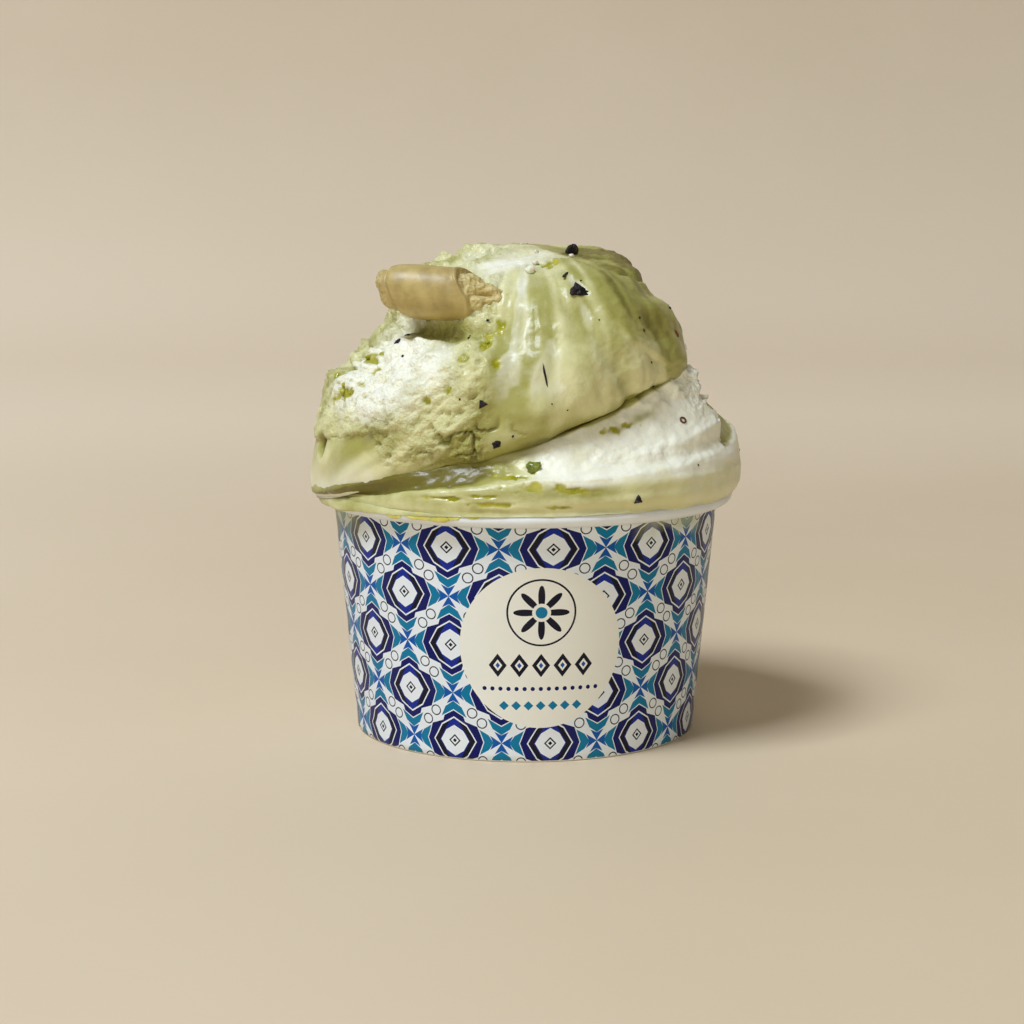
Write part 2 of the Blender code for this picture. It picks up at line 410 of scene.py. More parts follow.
def grain(tree, mottle_scale, grain_scale):
    node = tree.nodes.new("ShaderNodeGroup")
    node.node_tree = GRAIN
    node.inputs["Mottle Scale"].default_value = mottle_scale
    node.inputs["Grain Scale"].default_value = grain_scale
    return Value(tree, node.outputs["Mottle"]), Value(tree, node.outputs["Grain"])


# The cup's print: medallions and four-armed stars on a slanted lattice, with a plain roundel at the front.
COLUMN_STEP = 15.5
ROW_STEP = 10.3
MEDALLION_AZIMUTH = 7.7
MEDALLION_HEIGHT = 45.3
ROUNDEL_AZIMUTH = 4.5
ROUNDEL_HEIGHT = 24.5
ROUNDEL_RADIUS = 17
WALL_MIDDLE_RADIUS = 39.3
PAPER = ink(232, 237, 239)
ROUNDEL_PAPER = ink(238, 236, 222)
NIGHT = ink(12, 11, 34)
NAVY = ink(6, 16, 92)
ROYAL = ink(14, 40, 140)
TEAL = ink(0, 118, 156)
BLUE = ink(0, 84, 164)


def medallion_masks(u, w):
    """The print's fields, from the distance across (u) and up (w) from the nearest medallion's middle, in
    half cells. Each is the overlap of a few half planes, mirrored over both axes."""
    shallow, steep = w + u * 0.6, w + u * 1.68
    middle = (shallow < 0.325) & (steep < 0.53)
    frame_band = (shallow < 0.47) & (steep < 0.76)
    keyline = (shallow < 0.505) & (steep < 0.81)
    wide = (u + w * 0.375 < 0.62) & (w + u * 0.35 < 0.495)
    tall = (w + u * 0.55 < 0.63) & (u + w * 0.32 < 0.375)
    side_chevron = (u + w * 0.375 > 0.64) & (u + w * 0.7 < 0.84) & (w + u * 0.58 < 0.58)
    end_chevron = (w + u * 0.58 > 0.655) & (w + u * 0.7 < 0.83) & (u + w * 0.47 < 0.51)
    return {"chevrons": side_chevron | end_chevron, "outer": wide | tall, "keyline": keyline,
            "frame": frame_band, "cap": frame_band & (steep < 0.57), "middle": middle}


def star_mask(u, w):
    """A four-armed star whose arms widen outwards and end in a notch."""
    longer, shorter = u | w, u & w
    return (shorter < longer * 0.62) & (longer < shorter * 0.5 + 0.165)


def ring_mask(u, w):
    """Two thin rings side by side, halfway between four medallions' middles."""
    near = (u - 0.6).length(w - 0.4) & (u - 0.4).length(w - 0.6)
    return abs(near - 0.1) < 0.012


def roundel_layers(x, y):
    """The roundel's fields in millimetres from its middle: a rosette in a ring, a row of hollow lozenges, a
    row of dots and a short row of small lozenges."""
    radius, turn = x.length(y - 7.6), (y - 7.6).math("ARCTAN2", x)
    petals = (radius < (turn * 8).math("COSINE") * 2.1 + 3.6) & (radius > 1.9)
    rosette = petals | (abs(radius - 6.9) < 0.2)
    lozenge, in_row = x.repeat(4.5) / 1.9 + abs(y + 3.6) / 2.5, abs(x) < 11.2
    frieze = (lozenge < 1) & (lozenge > 0.5) & in_row
    beads = (x.repeat(1.7).length(y + 8.6) < 0.45) & (abs(x) < 12.6)
    small = (x.repeat(2.6) / 1.05 + abs(y + 12.2) < 1) & (abs(x) < 9)
    return [(rosette, NIGHT), (radius < 1.2, TEAL), (frieze, NIGHT), ((lozenge < 0.25) & in_row, BLUE),
            (beads, NAVY), (small, TEAL)]


def print_group():
    """The whole print as one colour, from the share round the wall (Across) and the height in metres (Up)."""
    group, given, out = new_group("board_print", {"Across": "Float", "Up": "Float"},
                                  {"Color": "Color", "Inked": "Float"})
    azimuth = Value(group, given["Across"]) * 360 - 180
    height = Value(group, given["Up"]) * (1 / MILLIMETRE)
    column = (azimuth - MEDALLION_AZIMUTH) / COLUMN_STEP
    row = (height - MEDALLION_HEIGHT) / ROW_STEP
    first = ((column + row) * 0.5).math("ROUND")
    second = ((column - row) * 0.5).math("ROUND")
    u, w = abs(column - first - second), abs(row - first + second)
    fields = medallion_masks(u, w)
    mark = (abs(u + w - 0.11) < 0.02) | (u + w < 0.045)
    star = star_mask(abs(u - 1), w) | star_mask(u, abs(w - 1))
    layers = [(ring_mask(u, w), NIGHT), (fields["chevrons"], TEAL), (star, BLUE), (fields["outer"], NAVY),
              (fields["keyline"], PAPER), (fields["frame"], NIGHT), (fields["cap"], ROYAL),
              (fields["middle"], PAPER), (mark, NIGHT)]
    x = (azimuth - ROUNDEL_AZIMUTH) * (math.pi / 180 * WALL_MIDDLE_RADIUS)
    y = height - ROUNDEL_HEIGHT
    at_front = abs(azimuth - ROUNDEL_AZIMUTH) < 30
    layers += [(x.length(y) < ROUNDEL_RADIUS, ROUNDEL_PAPER)]
    layers += [(mask & at_front, colour) for mask, colour in roundel_layers(x, y)]
    colour, inked = PAPER, None
    for mask, paint in layers:
        colour = mixed(group, mask, colour, paint)
        share = 0 if paint in (PAPER, ROUNDEL_PAPER) else 1
        inked = mask * share if inked is None else inked * (mask * -1 + 1) + mask * share
    group.links.new(colour, out["Color"])
    group.links.new(inked.source, out["Inked"])
    return group


def printed_board():
    """Coated board with the print, smears of melted gelato under the rim, and a faint fibre."""
    material, tree, shader = new_material("printed_board", IOR=1.45, Specular_IOR_Level=0.22)
    chart = tree.nodes.new("ShaderNodeUVMap")
    chart.uv_map = "chart"
    across, up = split(tree, chart.outputs["UV"])
    print_node = tree.nodes.new("ShaderNodeGroup")
    print_node.node_tree = print_group()
    tree.links.new(across.source, print_node.inputs["Across"])
    tree.links.new(up.source, print_node.inputs["Up"])
    azimuth = across * 360 - 180
    mottle, fibre = grain(tree, 160, 1600)
    edge = up * (1 / MILLIMETRE) + mottle * 9
    right = edge.smooth(50.5, 54.5) & abs(azimuth - 48).smooth(18, 8)
    left = edge.smooth(45, 56) & abs(azimuth + 72).smooth(20, 8)
    smear = (right | left) * 0.6
    worn = mixed(tree, mottle.smooth(0.35, 0.75) * 0.02, print_node.outputs["Color"], ink(160, 150, 130))
    gloss = Value(tree, print_node.outputs["Inked"]) * -0.08 + (mottle * 0.12 + 0.36)
    dress(tree, shader, mixed(tree, smear, worn, ink(186, 188, 140)), fibre * 0.5 + smear, 0.00004, gloss)
    return material


def plain_board():
    """White coated board, slightly creamy where it is handled, with a faint fibre."""
    material, tree, shader = new_material("plain_board", IOR=1.45, Specular_IOR_Level=0.35)
    mottle, fibre = grain(tree, 120, 1500)
    creamy = mixed(tree, mottle.smooth(0.3, 0.8) * 0.5, ink(236, 239, 238), ink(224, 221, 210))
    dress(tree, shader, creamy, fibre, 0.00003, mottle * 0.15 + 0.34)
    return material


CREAM, GREEN, DEEP_GREEN = ink(223, 218, 162), ink(167, 162, 86), ink(114, 105, 38)
WHITE, GRAINY_GREEN = ink(251, 248, 224), ink(160, 156, 84)
SYRUP_DARK, SYRUP_LIGHT = ink(148, 146, 16), ink(186, 178, 60)


def gelato_finish():
    """Moist gelato. Attributes on the piece give how green, white, rough and syrupy each place is; green and
    white also hold painted shade and painted light.
    """
    material, tree, shader = new_material(
        "gelato", IOR=1.38, Subsurface_Weight=0.22, Subsurface_Scale=0.0014, Coat_Weight=0.2,
        Coat_Roughness=0.16)
    shader.inputs["Subsurface Radius"].default_value = (1, 0.9, 0.45)
    mottle, fine = grain(tree, 240, 1300)
    green, white = attribute(tree, "green"), attribute(tree, "white")
    rough, syrup = attribute(tree, "rough"), attribute(tree, "syrup")
    uneven = mottle - 0.5
    shade = mixed(tree, (green + uneven * 0.9).smooth(0, 1), CREAM, GREEN)
    shade = mixed(tree, (green + uneven * 0.6).smooth(1, 1.7), shade, DEEP_GREEN)
    shade = mixed(tree, (white + uneven * 0.6).smooth(0.1, 0.9), shade, WHITE)
    shade = mixed(tree, (fine.smooth(0.5, 0.75) & rough) * 0.15, shade, GRAINY_GREEN)
    syrupy = mixed(tree, mottle.smooth(0.35, 0.65), SYRUP_DARK, SYRUP_LIGHT)
    shade = mixed(tree, syrup.smooth(0.1, 1), shade, syrupy)
    gloss = (rough * 0.3 + (mottle * 0.16 + 0.3) - syrup * 0.28) | 0.12
    dress(tree, shader, shade, fine * (rough * 2.2 + 0.3) + mottle * 0.4, 0.0003, gloss)
    return material


def paste_finish():
    """Almond paste: smooth and waxy, finely mottled, paler and crumbly where it is torn."""
    material, tree, shader = new_material(
        "almond_paste", IOR=1.45, Subsurface_Weight=0.1, Subsurface_Scale=0.0012, Coat_Weight=0.08,
        Coat_Roughness=0.25)
    shader.inputs["Subsurface Radius"].default_value = (1, 0.7, 0.3)
    mottle, fine = grain(tree, 260, 1500)
    torn = attribute(tree, "torn")
    shade = mixed(tree, mottle.smooth(0.3, 0.75), ink(196, 174, 108), ink(166, 143, 84))
    shade = mixed(tree, torn * fine.smooth(0.35, 0.6), shade, ink(216, 200, 140))
    gloss = mottle * 0.15 + torn * 0.25 + 0.34
    dress(tree, shader, shade, fine * (torn * 2 + 0.3) + mottle * 0.3, 0.00018, gloss)
    return material


def simple_finish(name, light, dark, roughness, scale, bump, **settings):
    """A finish between two colours, with its own mottle and a little relief."""
    material, tree, shader = new_material(name, **settings)
    mottle, fine = grain(tree, scale, scale * 5)
    dress(tree, shader, mixed(tree, mottle.smooth(0.3, 0.7), light, dark), fine, bump, fine * 0.2 + roughness)
    return material


# The cup.

def wall_radius(height):
    return FOOT_RADIUS + (WALL_TOP_RADIUS - FOOT_RADIUS) * height / WALL_TOP


def rim_point(angle, clearance=0):
    """A point on the rolled rim, an ellipse, at an angle from straight out (0) over the top (90) and in."""
    half_width = (RIM_RADIUS - WALL_TOP_RADIUS + BOARD) / 2
    angle = np.radians(angle)
    radius = RIM_RADIUS - half_width + (half_width + clearance) * np.cos(angle)
    height = CUP_HEIGHT - RIM_HALF_HEIGHT + (RIM_HALF_HEIGHT + clearance) * np.sin(angle)
    return radius, height


def make_cup_wall(board, plain):
    """The board's outline carried round the cup: up the printed outside, under and round the rolled rim, down
    the inside and round the folded foot. The side seam laps at the back, where the radius steps."""
    columns = 360
    azimuth = ring_azimuths(columns) - np.pi
    outline = [(wall_radius(z), z) for z in np.linspace(FOOT_ROUND, WALL_TOP, 40)]
    printed_rows = len(outline) - 1
    outline += [rim_point(angle) for angle in np.linspace(-105, 180, 30)]
    hem_top = BASE_LOW[2] - GAP
    outline += [(wall_radius(z) - BOARD, z) for z in np.linspace(CUP_HEIGHT - 4, hem_top, 8)]
    hem = wall_radius(0) - HEM_THICKNESS
    outline += [(wall_radius(hem_top) - HEM_THICKNESS, hem_top), (hem, FOOT_ROUND)]
    outline += [(hem + FOOT_ROUND, 0), (wall_radius(0) - FOOT_ROUND, 0)]
    radius, height = (np.array(values)[:, None] for values in zip(*outline))
    points = turned(radius, height, azimuth[None, :])
    lap = 0.22 * ease(np.abs(azimuth), np.radians(176), np.radians(176.6)) * (azimuth < 0)
    heel = -0.12 * np.exp(-(((height - BASE_HIGH[2]) / 0.7) ** 2))
    wavy = 0.05 * noise(points / 14, 5)
    on_wall = np.zeros((len(outline), 1))
    on_wall[:printed_rows + 1] = ease(height[:printed_rows + 1], WALL_TOP, WALL_TOP - 2)
    points = turned(radius + on_wall * (lap + heel + wavy), height, azimuth[None, :])
    across = np.linspace(0, 1, columns + 1)[None, :]
    chart = as_points(across, height * MILLIMETRE)
    rows_of = np.where(np.arange(len(outline)) < printed_rows, 0, 1)
    wall = grid_piece("cup_side_board", [points], [board, plain], tips=False, joined=True, chart=chart,
                      rows_of=rows_of)
    return settle(wall, "printed_board", "cup_wall")


def make_cup_base(plain):
    """A thin disc set up in the foot, very slightly domed upwards in the middle."""
    azimuth = ring_azimuths(180)[None, :]
    edge = BASE_HIGH[0]
    share = np.array([0.2, 0.5, 0.8, 0.97, 1, 1, 0.97, 0.8, 0.5, 0.2])[:, None]
    side = np.array([0, 0, 0, 0, 0.15, 0.85, 1, 1, 1, 1])[:, None]
    dome = 0.25 * (1 - share**2) * (1 - side)
    points = turned(edge * share, BASE_LOW[2] + (BASE_HIGH[2] - BASE_LOW[2]) * side + dome, azimuth)
    return settle(grid_piece("cup_bottom_board", [points], [plain]), "plain_board", "cup_base")


# The gelato.

def turn_from(azimuth, direction):
    """How far an azimuth is from a direction in degrees, in radians between minus and plus half a turn."""
    return (azimuth - np.radians(direction) + np.pi) % (2 * np.pi) - np.pi


def seat_height(azimuth, share):
    """The face where the two folds meet: from its middle (share 0) it runs out to the crease (share 1)."""
    return SEAT_MIDDLE + (around(CREASE_HEIGHT, azimuth) - SEAT_MIDDLE) * share**2


class Surface:
    """A grid of points with its azimuths and heights, on which relief and tints are laid."""

    def __init__(self, points):
        self.points = points
        self.normal = normals_of(points)
        self.azimuth = np.arctan2(points[..., 0], -points[..., 1])
        self.degrees = np.degrees(self.azimuth)
        self.height = points[..., 2].copy()

    def patch(self, middle, reach, power=2):
        """1 round a middle (azimuth, height), falling to 0 past its reach in each."""
        across = turn_from(self.azimuth, middle[0]) / np.radians(reach[0])
        up = (self.height - middle[1]) / reach[1]
        return np.exp(-((across**2 + up**2) ** (power / 2)))

    def spot(self, middle, reach):
        """1 at a place in millimetres, falling to 0 past its reach all round."""
        return np.exp(-(((self.points - middle) ** 2).sum(axis=-1) / reach**2))

    def noise(self, width, seed):
        """Noise whose cells are so many millimetres wide."""
        return noise(self.points / width, seed)

    def layers(self, width, count, seed):
        """Layers of noise, the widest with cells so many millimetres wide."""
        return layered(self.points / width, count, seed)

    def flow(self, across, along, lean):
        """Places for noise drawn out up and down the fold: so many cells to a radian round it, and so many
        to a millimetre up it, leaning as it rises."""
        turn = self.azimuth + lean * (self.height - FLOW_MIDDLE) + 0.05 * self.noise(11, 3)
        return as_points(across * np.sin(turn), across * np.cos(turn), self.height * along)

    def finish(self, relief):
        """Raises the points by a relief in millimetres, which gives the finished shape."""
        self.shaped = within_box(self.points + self.normal * relief[..., None])
        self.shaped_normal = normals_of(self.shaped)

    def nearest(self, azimuth, height, low_row):
        """The finished point nearest to an azimuth and height, at or above a row, and its outward normal."""
        across = turn_from(self.azimuth[low_row:], azimuth) * FOLD_RADIUS
        place = np.argmin(across**2 + (self.height[low_row:] - height) ** 2)
        row, column = np.unravel_index(place, self.azimuth[low_row:].shape)
        return self.shaped[row + low_row, column], self.shaped_normal[row + low_row, column]


# The folds' usual radius, and the height where leaning streaks keep their azimuth. Then the tall fold's
# ridges, the sheet pulled over it at the right and its flattened shoulder, as on its frame node.
FOLD_RADIUS = 40
FLOW_MIDDLE = 84
RIDGE_COUNT = 9
RIDGE_DEPTH = 0.4
RIDGE_LEAN = 75
SHEET_AZIMUTH = 62
SHEET_WIDTH = 46
SHEET_RISE = 1
SHOULDER_AZIMUTH = -58
SHOULDER_WIDTH = 42
SHOULDER_HEIGHT = 90
SHOULDER_REACH = 8.5
SHOULDER_DEPTH = 4.4


def ridges(azimuth, rise):
    """How far the broad ridges and the pulled sheet stand out, by the share of the way up the dome."""
    lean = np.radians(RIDGE_LEAN) * rise
    depth = RIDGE_DEPTH * np.sin(np.pi * np.clip(rise, 0, 1)) ** 2
    wave = np.sin(RIDGE_COUNT * (azimuth + lean)) * depth
    across = turn_from(azimuth, SHEET_AZIMUTH) / np.radians(SHEET_WIDTH)
    sheet = SHEET_RISE * np.exp(-(across**4)) * np.clip(rise * 3 - 1, 0, 1)
    return wave + sheet * np.clip(5 * (1 - rise), 0, 1)


def shoulder(azimuth, height):
    """How far the flattened shoulder is pressed in: a bell round its direction and its height."""
    across = bell(turn_from(azimuth, SHOULDER_AZIMUTH), np.radians(SHOULDER_WIDTH))
    return SHOULDER_DEPTH * across * bell(height - SHOULDER_HEIGHT, SHOULDER_REACH)


# At the left the tall fold hangs down and out over the low fold's lip, which is tucked in under it.
DRAPE_AZIMUTH = -90
DRAPE_WIDTH = 50
DRAPE_DROP = 2.6
DRAPE_REACH = 0.7
DRAPE_TUCK = 1.3


def drape(azimuth):
    """1 where the tall fold hangs down, falling to 0 past the drape's width."""
    return np.exp(-((turn_from(azimuth, DRAPE_AZIMUTH) / np.radians(DRAPE_WIDTH)) ** 4))


def tall_fold_surface(columns=470):
    """The seat, a quarter of an ellipse rolling out from the crease, then a quarter of a superellipse."""
    azimuth = ring_azimuths(columns)
    crease_radius = around(CREASE_RADIUS, azimuth) + DRAPE_REACH * drape(azimuth)
    crease_height = around(CREASE_HEIGHT, azimuth) - DRAPE_DROP * drape(azimuth)
    widest, low = around(DOME_RADIUS, azimuth), around(DOME_LOW, azimuth)
    power = 2 / around(DOME_ROUNDNESS, azimuth)
    rows = [turned(crease_radius * s, seat_height(azimuth, s) + GAP, azimuth) for s in (0.3, 0.6, 0.85, 0.96)]
    for turn in np.radians(np.linspace(0, 87, 30)):
        height = low - (low - crease_height - GAP) * np.cos(turn)
        radius = crease_radius + (widest - crease_radius) * np.sin(turn)
        rows.append(turned(radius - shoulder(azimuth, height), height, azimuth))
    for turn in np.radians(np.linspace(0, 89.3, 175)):
        rise = np.sin(turn)
        height = low + (DOME_TOP - low) * rise**power
        radius = widest * np.cos(turn) ** power + ridges(azimuth, rise) * np.cos(turn)
        rows.append(turned(radius - shoulder(azimuth, height) * np.cos(turn) ** 0.3, height, azimuth))
    return Surface(np.array(rows))


def spots(form, plan):
    """Ragged stains at the given places (azimuth, height, reach round, reach up), 0 to 1."""
    total = np.zeros_like(form.height)
    for azimuth, height, across, up in plan:
        total = np.maximum(total, form.patch((azimuth, height), (across, up)))
    ragged = 0.45 * form.noise(1.3, 57) + 0.25 * form.noise(0.7, 58)
    return ease(total + ragged * (total > 0.02), 0.3, 0.95)


def tints(green, white, rough, stains, wet):
    """The numbers for each point that the gelato's finish reads."""
    return {"green": green, "white": np.clip(white, 0, 1), "rough": rough, "syrup": np.maximum(stains, wet)}


TALL_SYRUP = [(-61, 75.5, 7, 2.8), (-55, 77.5, 3, 1.2), (-67, 74, 4, 1.8), (-61, 83.5, 7, 2.2),
              (-54, 81, 3.5, 1.2), (-74, 79, 6, 2.2), (-68, 87, 6, 1.6), (-13.4, 87.8, 2.8, 2.2),
              (-18.5, 83.9, 2.6, 1.6), (-22, 77.8, 2.6, 1.3), (-21.5, 72.5, 2, 1), (-28, 75.6, 1.6, 1.2),
              (-10, 91, 2.2, 1.6), (-46, 87.5, 4, 1.2), (13, 101.6, 8, 0.8), (-9, 83, 1.4, 2.4),
              (150, 90, 8, 2), (-140, 84, 6, 3), (175, 80, 5, 2)]
LOW_SYRUP = [(28, 68.8, 4.5, 1), (33, 69.6, 3, 0.8), (3.5, 58.4, 8, 1.1), (-3, 60.4, 6, 0.8),
             (12, 57.8, 6, 0.8), (2.3, 61.8, 2.6, 1.4), (-12, 56.6, 5, 0.5), (-9, 55, 7, 0.6),
             (-21, 56, 5, 0.5), (9, 54.4, 4, 0.5), (150, 62, 7, 1.4)]


def tall_fold_relief(form):
    """What the spatula left on the tall fold, in millimetres, and its tints, among them painted shade and
    painted light.
    """
    a, z = form.degrees, form.height
    patch, cells, layers = form.patch, form.noise, form.layers
    row = np.arange(len(z))[:, None]
    free = ease(row, 2, 9) * ease(DOME_TOP - z, -0.3, 1.5)
    out_of_crease = ease(row, 4, 30)
    crown = ease(z, 96, 101.5)
    left, right = span(a, -150, -120, -42, -22), span(a, 8, 36, 120, 150)

    # The torn, porous zone at the left, and patches like it at the back.
    tear_foot = 60 + 8.5 * ease(a, -38, -52) + 2 * cells(6, 10)
    torn_open = span(a, -132, -104, -15, -8) * ease(z - tear_foot, 0, 3) * ease(z, 101, 96)
    porous = torn_open * (0.85 + 0.5 * cells(5, 11)) + 0.15 * crown
    back = ease(np.abs(a), 100, 135)
    porous = np.clip(porous + back * 0.6 * ease(cells(13, 12), 0, 0.5), 0, 1)
    ragged = 0.7 * cells(3, 13)

    # The pulled sheet at the right, from its ragged foot up to its edge, and what shows beyond the edge.
    low_edge = 80 + 18 * np.exp(-np.clip(a - 20, -4, 90) / 14) + ragged
    top_edge = 102.3 - 0.12 * (a - 19) + 0.9 * cells(6, 14)
    sheet = ease(z - low_edge, -0.8, 0.8) * ease(top_edge - z, -0.25, 0.35) * span(a, 14, 19, 80, 104)
    above = ease(z - top_edge, 0, 0.6) * span(a, 24, 36, 100, 130)
    behind = bell(z - top_edge - 1.2, 1.1) * span(a, 24, 40, 100, 125)

    # The smooth bulge low at the left, under a fold line.
    fold_line = 64 + 0.12 * np.clip(a + 80, 0, 46) + 0.3 * ragged
    tuck = np.where(z < fold_line, np.exp((z - fold_line) / 2.2), 0) * span(a, -125, -105, -44, -30)
    bulge = ease(fold_line - z, 0, 1.5) * span(a, -150, -120, -38, -20)
    smooth = np.clip(sheet + bulge, 0, 1)

    # Broad shapes, the streaks drawn up the fold, and lumps, crumbs and pits.
    mound = patch((-42, 80), (17, 9), 3)
    valley = bell(a + 5 + 0.25 * (z - 80), 6) * span(z, 66, 72, 92, 100)
    groove = bell(a - 26 + 0.9 * (z - 84), 4) * span(z, 70, 76, 90, 98)
    broad = 1.2 * cells(9, 21) * (1 - 0.4 * smooth) + 0.6 * mound - 1.6 * valley - 0.9 * groove
    lean = 0.024 * np.sin(form.azimuth - np.radians(10))
    patchy = 0.45 + 0.55 * ease(cells(12, 24), -0.3, 0.35)
    streaks = crest(noise(form.flow(10, 0.06, lean), 22))
    thin = crest(noise(form.flow(27, 0.1, lean), 23))
    folds = crest(noise(form.flow(5.5, 0.045, lean), 25)) * span(a, -14, 6, 70, 120) * (1 - crown)
    drawn = (1 - 0.85 * porous) * (1 - 0.85 * smooth) * (1 - crown) * out_of_crease * (1 - 0.75 * left)
    lumps, crumbs = layers(3, 4, 31), layers(1.3, 2, 34)
    holes = ease(dots(form.points / 2.1, 36), 0.45, 0.2) * ease(cells(4.5, 40), -0.15, 0.3)
    grainy = np.clip(porous + 0.6 * left * (1 - bulge), 0, 1)
    relief = broad + (0.4 * streaks + 0.18 * thin) * drawn * patchy + 0.55 * folds * out_of_crease
    relief += 0.36 * lumps * (0.4 + grainy + 0.2 * crown) * (1 - 0.7 * smooth) * (0.3 + 0.7 * out_of_crease)
    relief += grainy * 0.42 * crumbs - 1.4 * holes * porous + 0.2 * right * layers(2.2, 3, 45)
    relief += sheet - 1.5 * behind - 0.7 * above - 0.7 * tuck

    # Single features: the hollow under the roll, a slot and knobs at the left, the lobe at the back right
    # with the dips under it, and cracks above the crease.
    under_roll, slot = patch((-36, 89.4), (20, 1.9), 3), patch((-70, 63.6), (2.4, 2.2), 3)
    knobs = layers(2.4, 2, 43) * span(a, -130, -104, -44, -24) * ease(z, 74, 79)
    leftmost = bell(a + 90, 34) * span(z, 76.5, 80.5, 89, 94)
    back_lobe = patch((104, 100.6), (36, 3.2), 3)
    cracks = ease(np.abs(cells(4.2, 41)), 0.08, 0) * patch((-16, 66.5), (15, 5), 4)
    stains = spots(form, TALL_SYRUP)
    relief += 1.2 * knobs - 3.6 * leftmost - 2.4 * under_roll - 2.6 * slot - 1.9 * cracks - 0.5 * stains
    relief += 3.6 * back_lobe * (0.85 + 0.3 * cells(7, 46))
    relief -= 1.8 * patch((86, 95.6), (40, 2), 3) + 1.5 * patch((74, 88), (36, 8), 4)
    form.finish(relief * free)

    # Marbled greens along the streaks, swirls on the crown, whiter zones, painted shade in hollows, painted
    # light at the left foot.
    marble = noise(form.flow(6, 0.05, lean), 51) + 0.6 * noise(form.flow(17, 0.06, lean), 52)
    cap = ease(z, 98.5, 102.5)
    swirl = noise(form.points / (9, 4, 9), 60) + 0.5 * cells(3, 53)
    marble = marble + (swirl - marble) * cap
    glazed = span(a, 10, 40, 66, 110) * span(z, 84, 91, 99, 103.5)
    glazed = np.maximum(glazed, 0.8 * form.spot((17, -4, 101), 9))
    # Painted light under the bulge at the left: its foot is made whiter and less green.
    painted_light_foot = ease(row, 48, 18) * span(a, -150, -120, -54, -30)
    # Painted shade: a little greener in the valley and in the tuck under the fold line.
    green = 0.34 + 0.6 * marble - 0.12 * streaks + 0.25 * sheet + 0.2 * bulge + 0.25 * valley + 0.4 * tuck
    # Painted shade: greener in the slot, the cracks and the hollow under the roll. The part above the sheet's
    # edge is olive, partly its own colour and partly painted shade.
    green += 0.42 * glazed + 0.7 * above + 0.9 * back_lobe + 2 * slot + 0.8 * cracks + 1.1 * under_roll
    # Painted shade: dark olive in the lowest rows, in the undercut by the crease, from the front round by the
    # right.
    green += 1.3 * ease(row, 22, 4) * ease(a, -30, 0) - 0.5 * painted_light_foot
    green += 0.2 * patch((14, 90), (26, 9), 3)
    white = 0.95 * patch((-52, 83), (30, 13), 4) + 0.8 * form.spot((-5, -15, 101), 13)
    white = white * (0.85 + 0.5 * cells(6, 55)) - 0.6 * sheet + 0.6 * painted_light_foot
    veins = ease(noise(form.flow(9, 0.04, lean), 56) + 0.35 * cells(2.5, 59), -0.1, 0.35)
    veins = veins * span(a, -16, -6, 26, 42) * ease(z, 70, 80) * (1 - sheet) * (1 - cap)
    # Painted shade: less white in the hollow under the roll.
    white += 0.38 * veins + 0.05 * torn_open - 0.9 * under_roll
    wet = holes * porous * ease(cells(5.5, 54), 0, 0.2) * 0.7
    return tints(green, white, grainy, stains, wet)


def smooth_rows(rings, steps):
    """Rows of points along the smooth curves (Catmull-Rom) through the given rows, with so many steps in each
    span."""
    rows = []
    for k, count in enumerate(steps):
        p0, p1, p2, p3 = (rings[min(max(k + j, 0), len(rings) - 1)] for j in (-1, 0, 1, 2))
        for t in np.arange(count) / count:
            rows.append(0.5 * (2 * p1 + (p2 - p0) * t + (2 * p0 - 5 * p1 + 4 * p2 - p3) * t**2
                               + (3 * p1 - p0 - 3 * p2 + p3) * t**3))
    return rows + [rings[-1]]


# The low fold's side: each ring's share of the way up from under the lip to the edge, and its swell. Then the
# rows of points laid between one ring and the next, over the lap, the side and the face, and the row that
# runs along the rolled edge.
SIDE_RINGS = ((0.12, 0.55), (0.3, 0.95), (0.6, 1), (0.85, 0.75), (1, 0))
RING_STEPS = [3, 6, 5, 8, 12, 12, 10, 18, 18, 16, 16]
RING_ROWS = sum(RING_STEPS)
EDGE_ROW = 66
FACE_HOLLOW = 0.4


def low_fold_surface(columns=500):
    """The fill inside the cup, the lap over the rim, the side up to its rounded edge, the face that slants up
    to the crease, and the seat under the tall fold."""
    azimuth = ring_azimuths(columns)
    bottom = BASE_HIGH[2] + GAP
    inner_top = CUP_HEIGHT - RIM_HALF_HEIGHT
    hidden = [turned(wall_radius(z) - BOARD - GAP, z, azimuth) for z in (bottom, inner_top)]
    hidden += [turned(*rim_point(angle, GAP), azimuth) for angle in (160, 135, 110, 85, 60)]
    droop = np.clip(around(LIP_DROOP, azimuth), 0, 1)
    rings = []
    for share in (0, 0.5, 1):
        rings.append(turned(*rim_point(40 - share * (12 + 62 * droop), 0.25), azimuth))
    under_height = rings[-1][:, 2]
    tucked = DRAPE_TUCK * drape(azimuth)
    side, edge = around(SIDE_RADIUS, azimuth) - tucked, around(EDGE_RADIUS, azimuth) - tucked
    edge_height = around(EDGE_HEIGHT, azimuth)
    for share, swell in SIDE_RINGS:
        height = under_height + (edge_height - under_height) * share
        rings.append(turned(edge + (side - edge) * swell, height, azimuth))
    crease_radius, crease_height = around(CREASE_RADIUS, azimuth), around(CREASE_HEIGHT, azimuth)
    for share in (0.25, 0.5, 0.75, 1):
        radius = edge + (crease_radius - edge) * share
        height = edge_height + (crease_height - edge_height) * share - FACE_HOLLOW * np.sin(np.pi * share)
        rings.append(turned(radius, height, azimuth))
    seat = [turned(crease_radius * s, seat_height(azimuth, s), azimuth) for s in (0.97, 0.75, 0.5, 0.25)]
    form = Surface(np.array(hidden + smooth_rows(rings, RING_STEPS) + seat))
    row = (np.arange(len(form.points)) - len(hidden))[:, None]
    form.on_side = span(row, 6, 16, 52, 60)
    form.on_face = span(row, 54, 62, RING_ROWS - 1, RING_ROWS + 2)
    form.above_side = span(row, 34, 64, RING_ROWS - 1, RING_ROWS + 2)
    form.up_face = np.clip((row - 56) / (RING_ROWS - 56), 0, 1)
    form.free = span(row, 3, 9, RING_ROWS, RING_ROWS + 3)
    return form


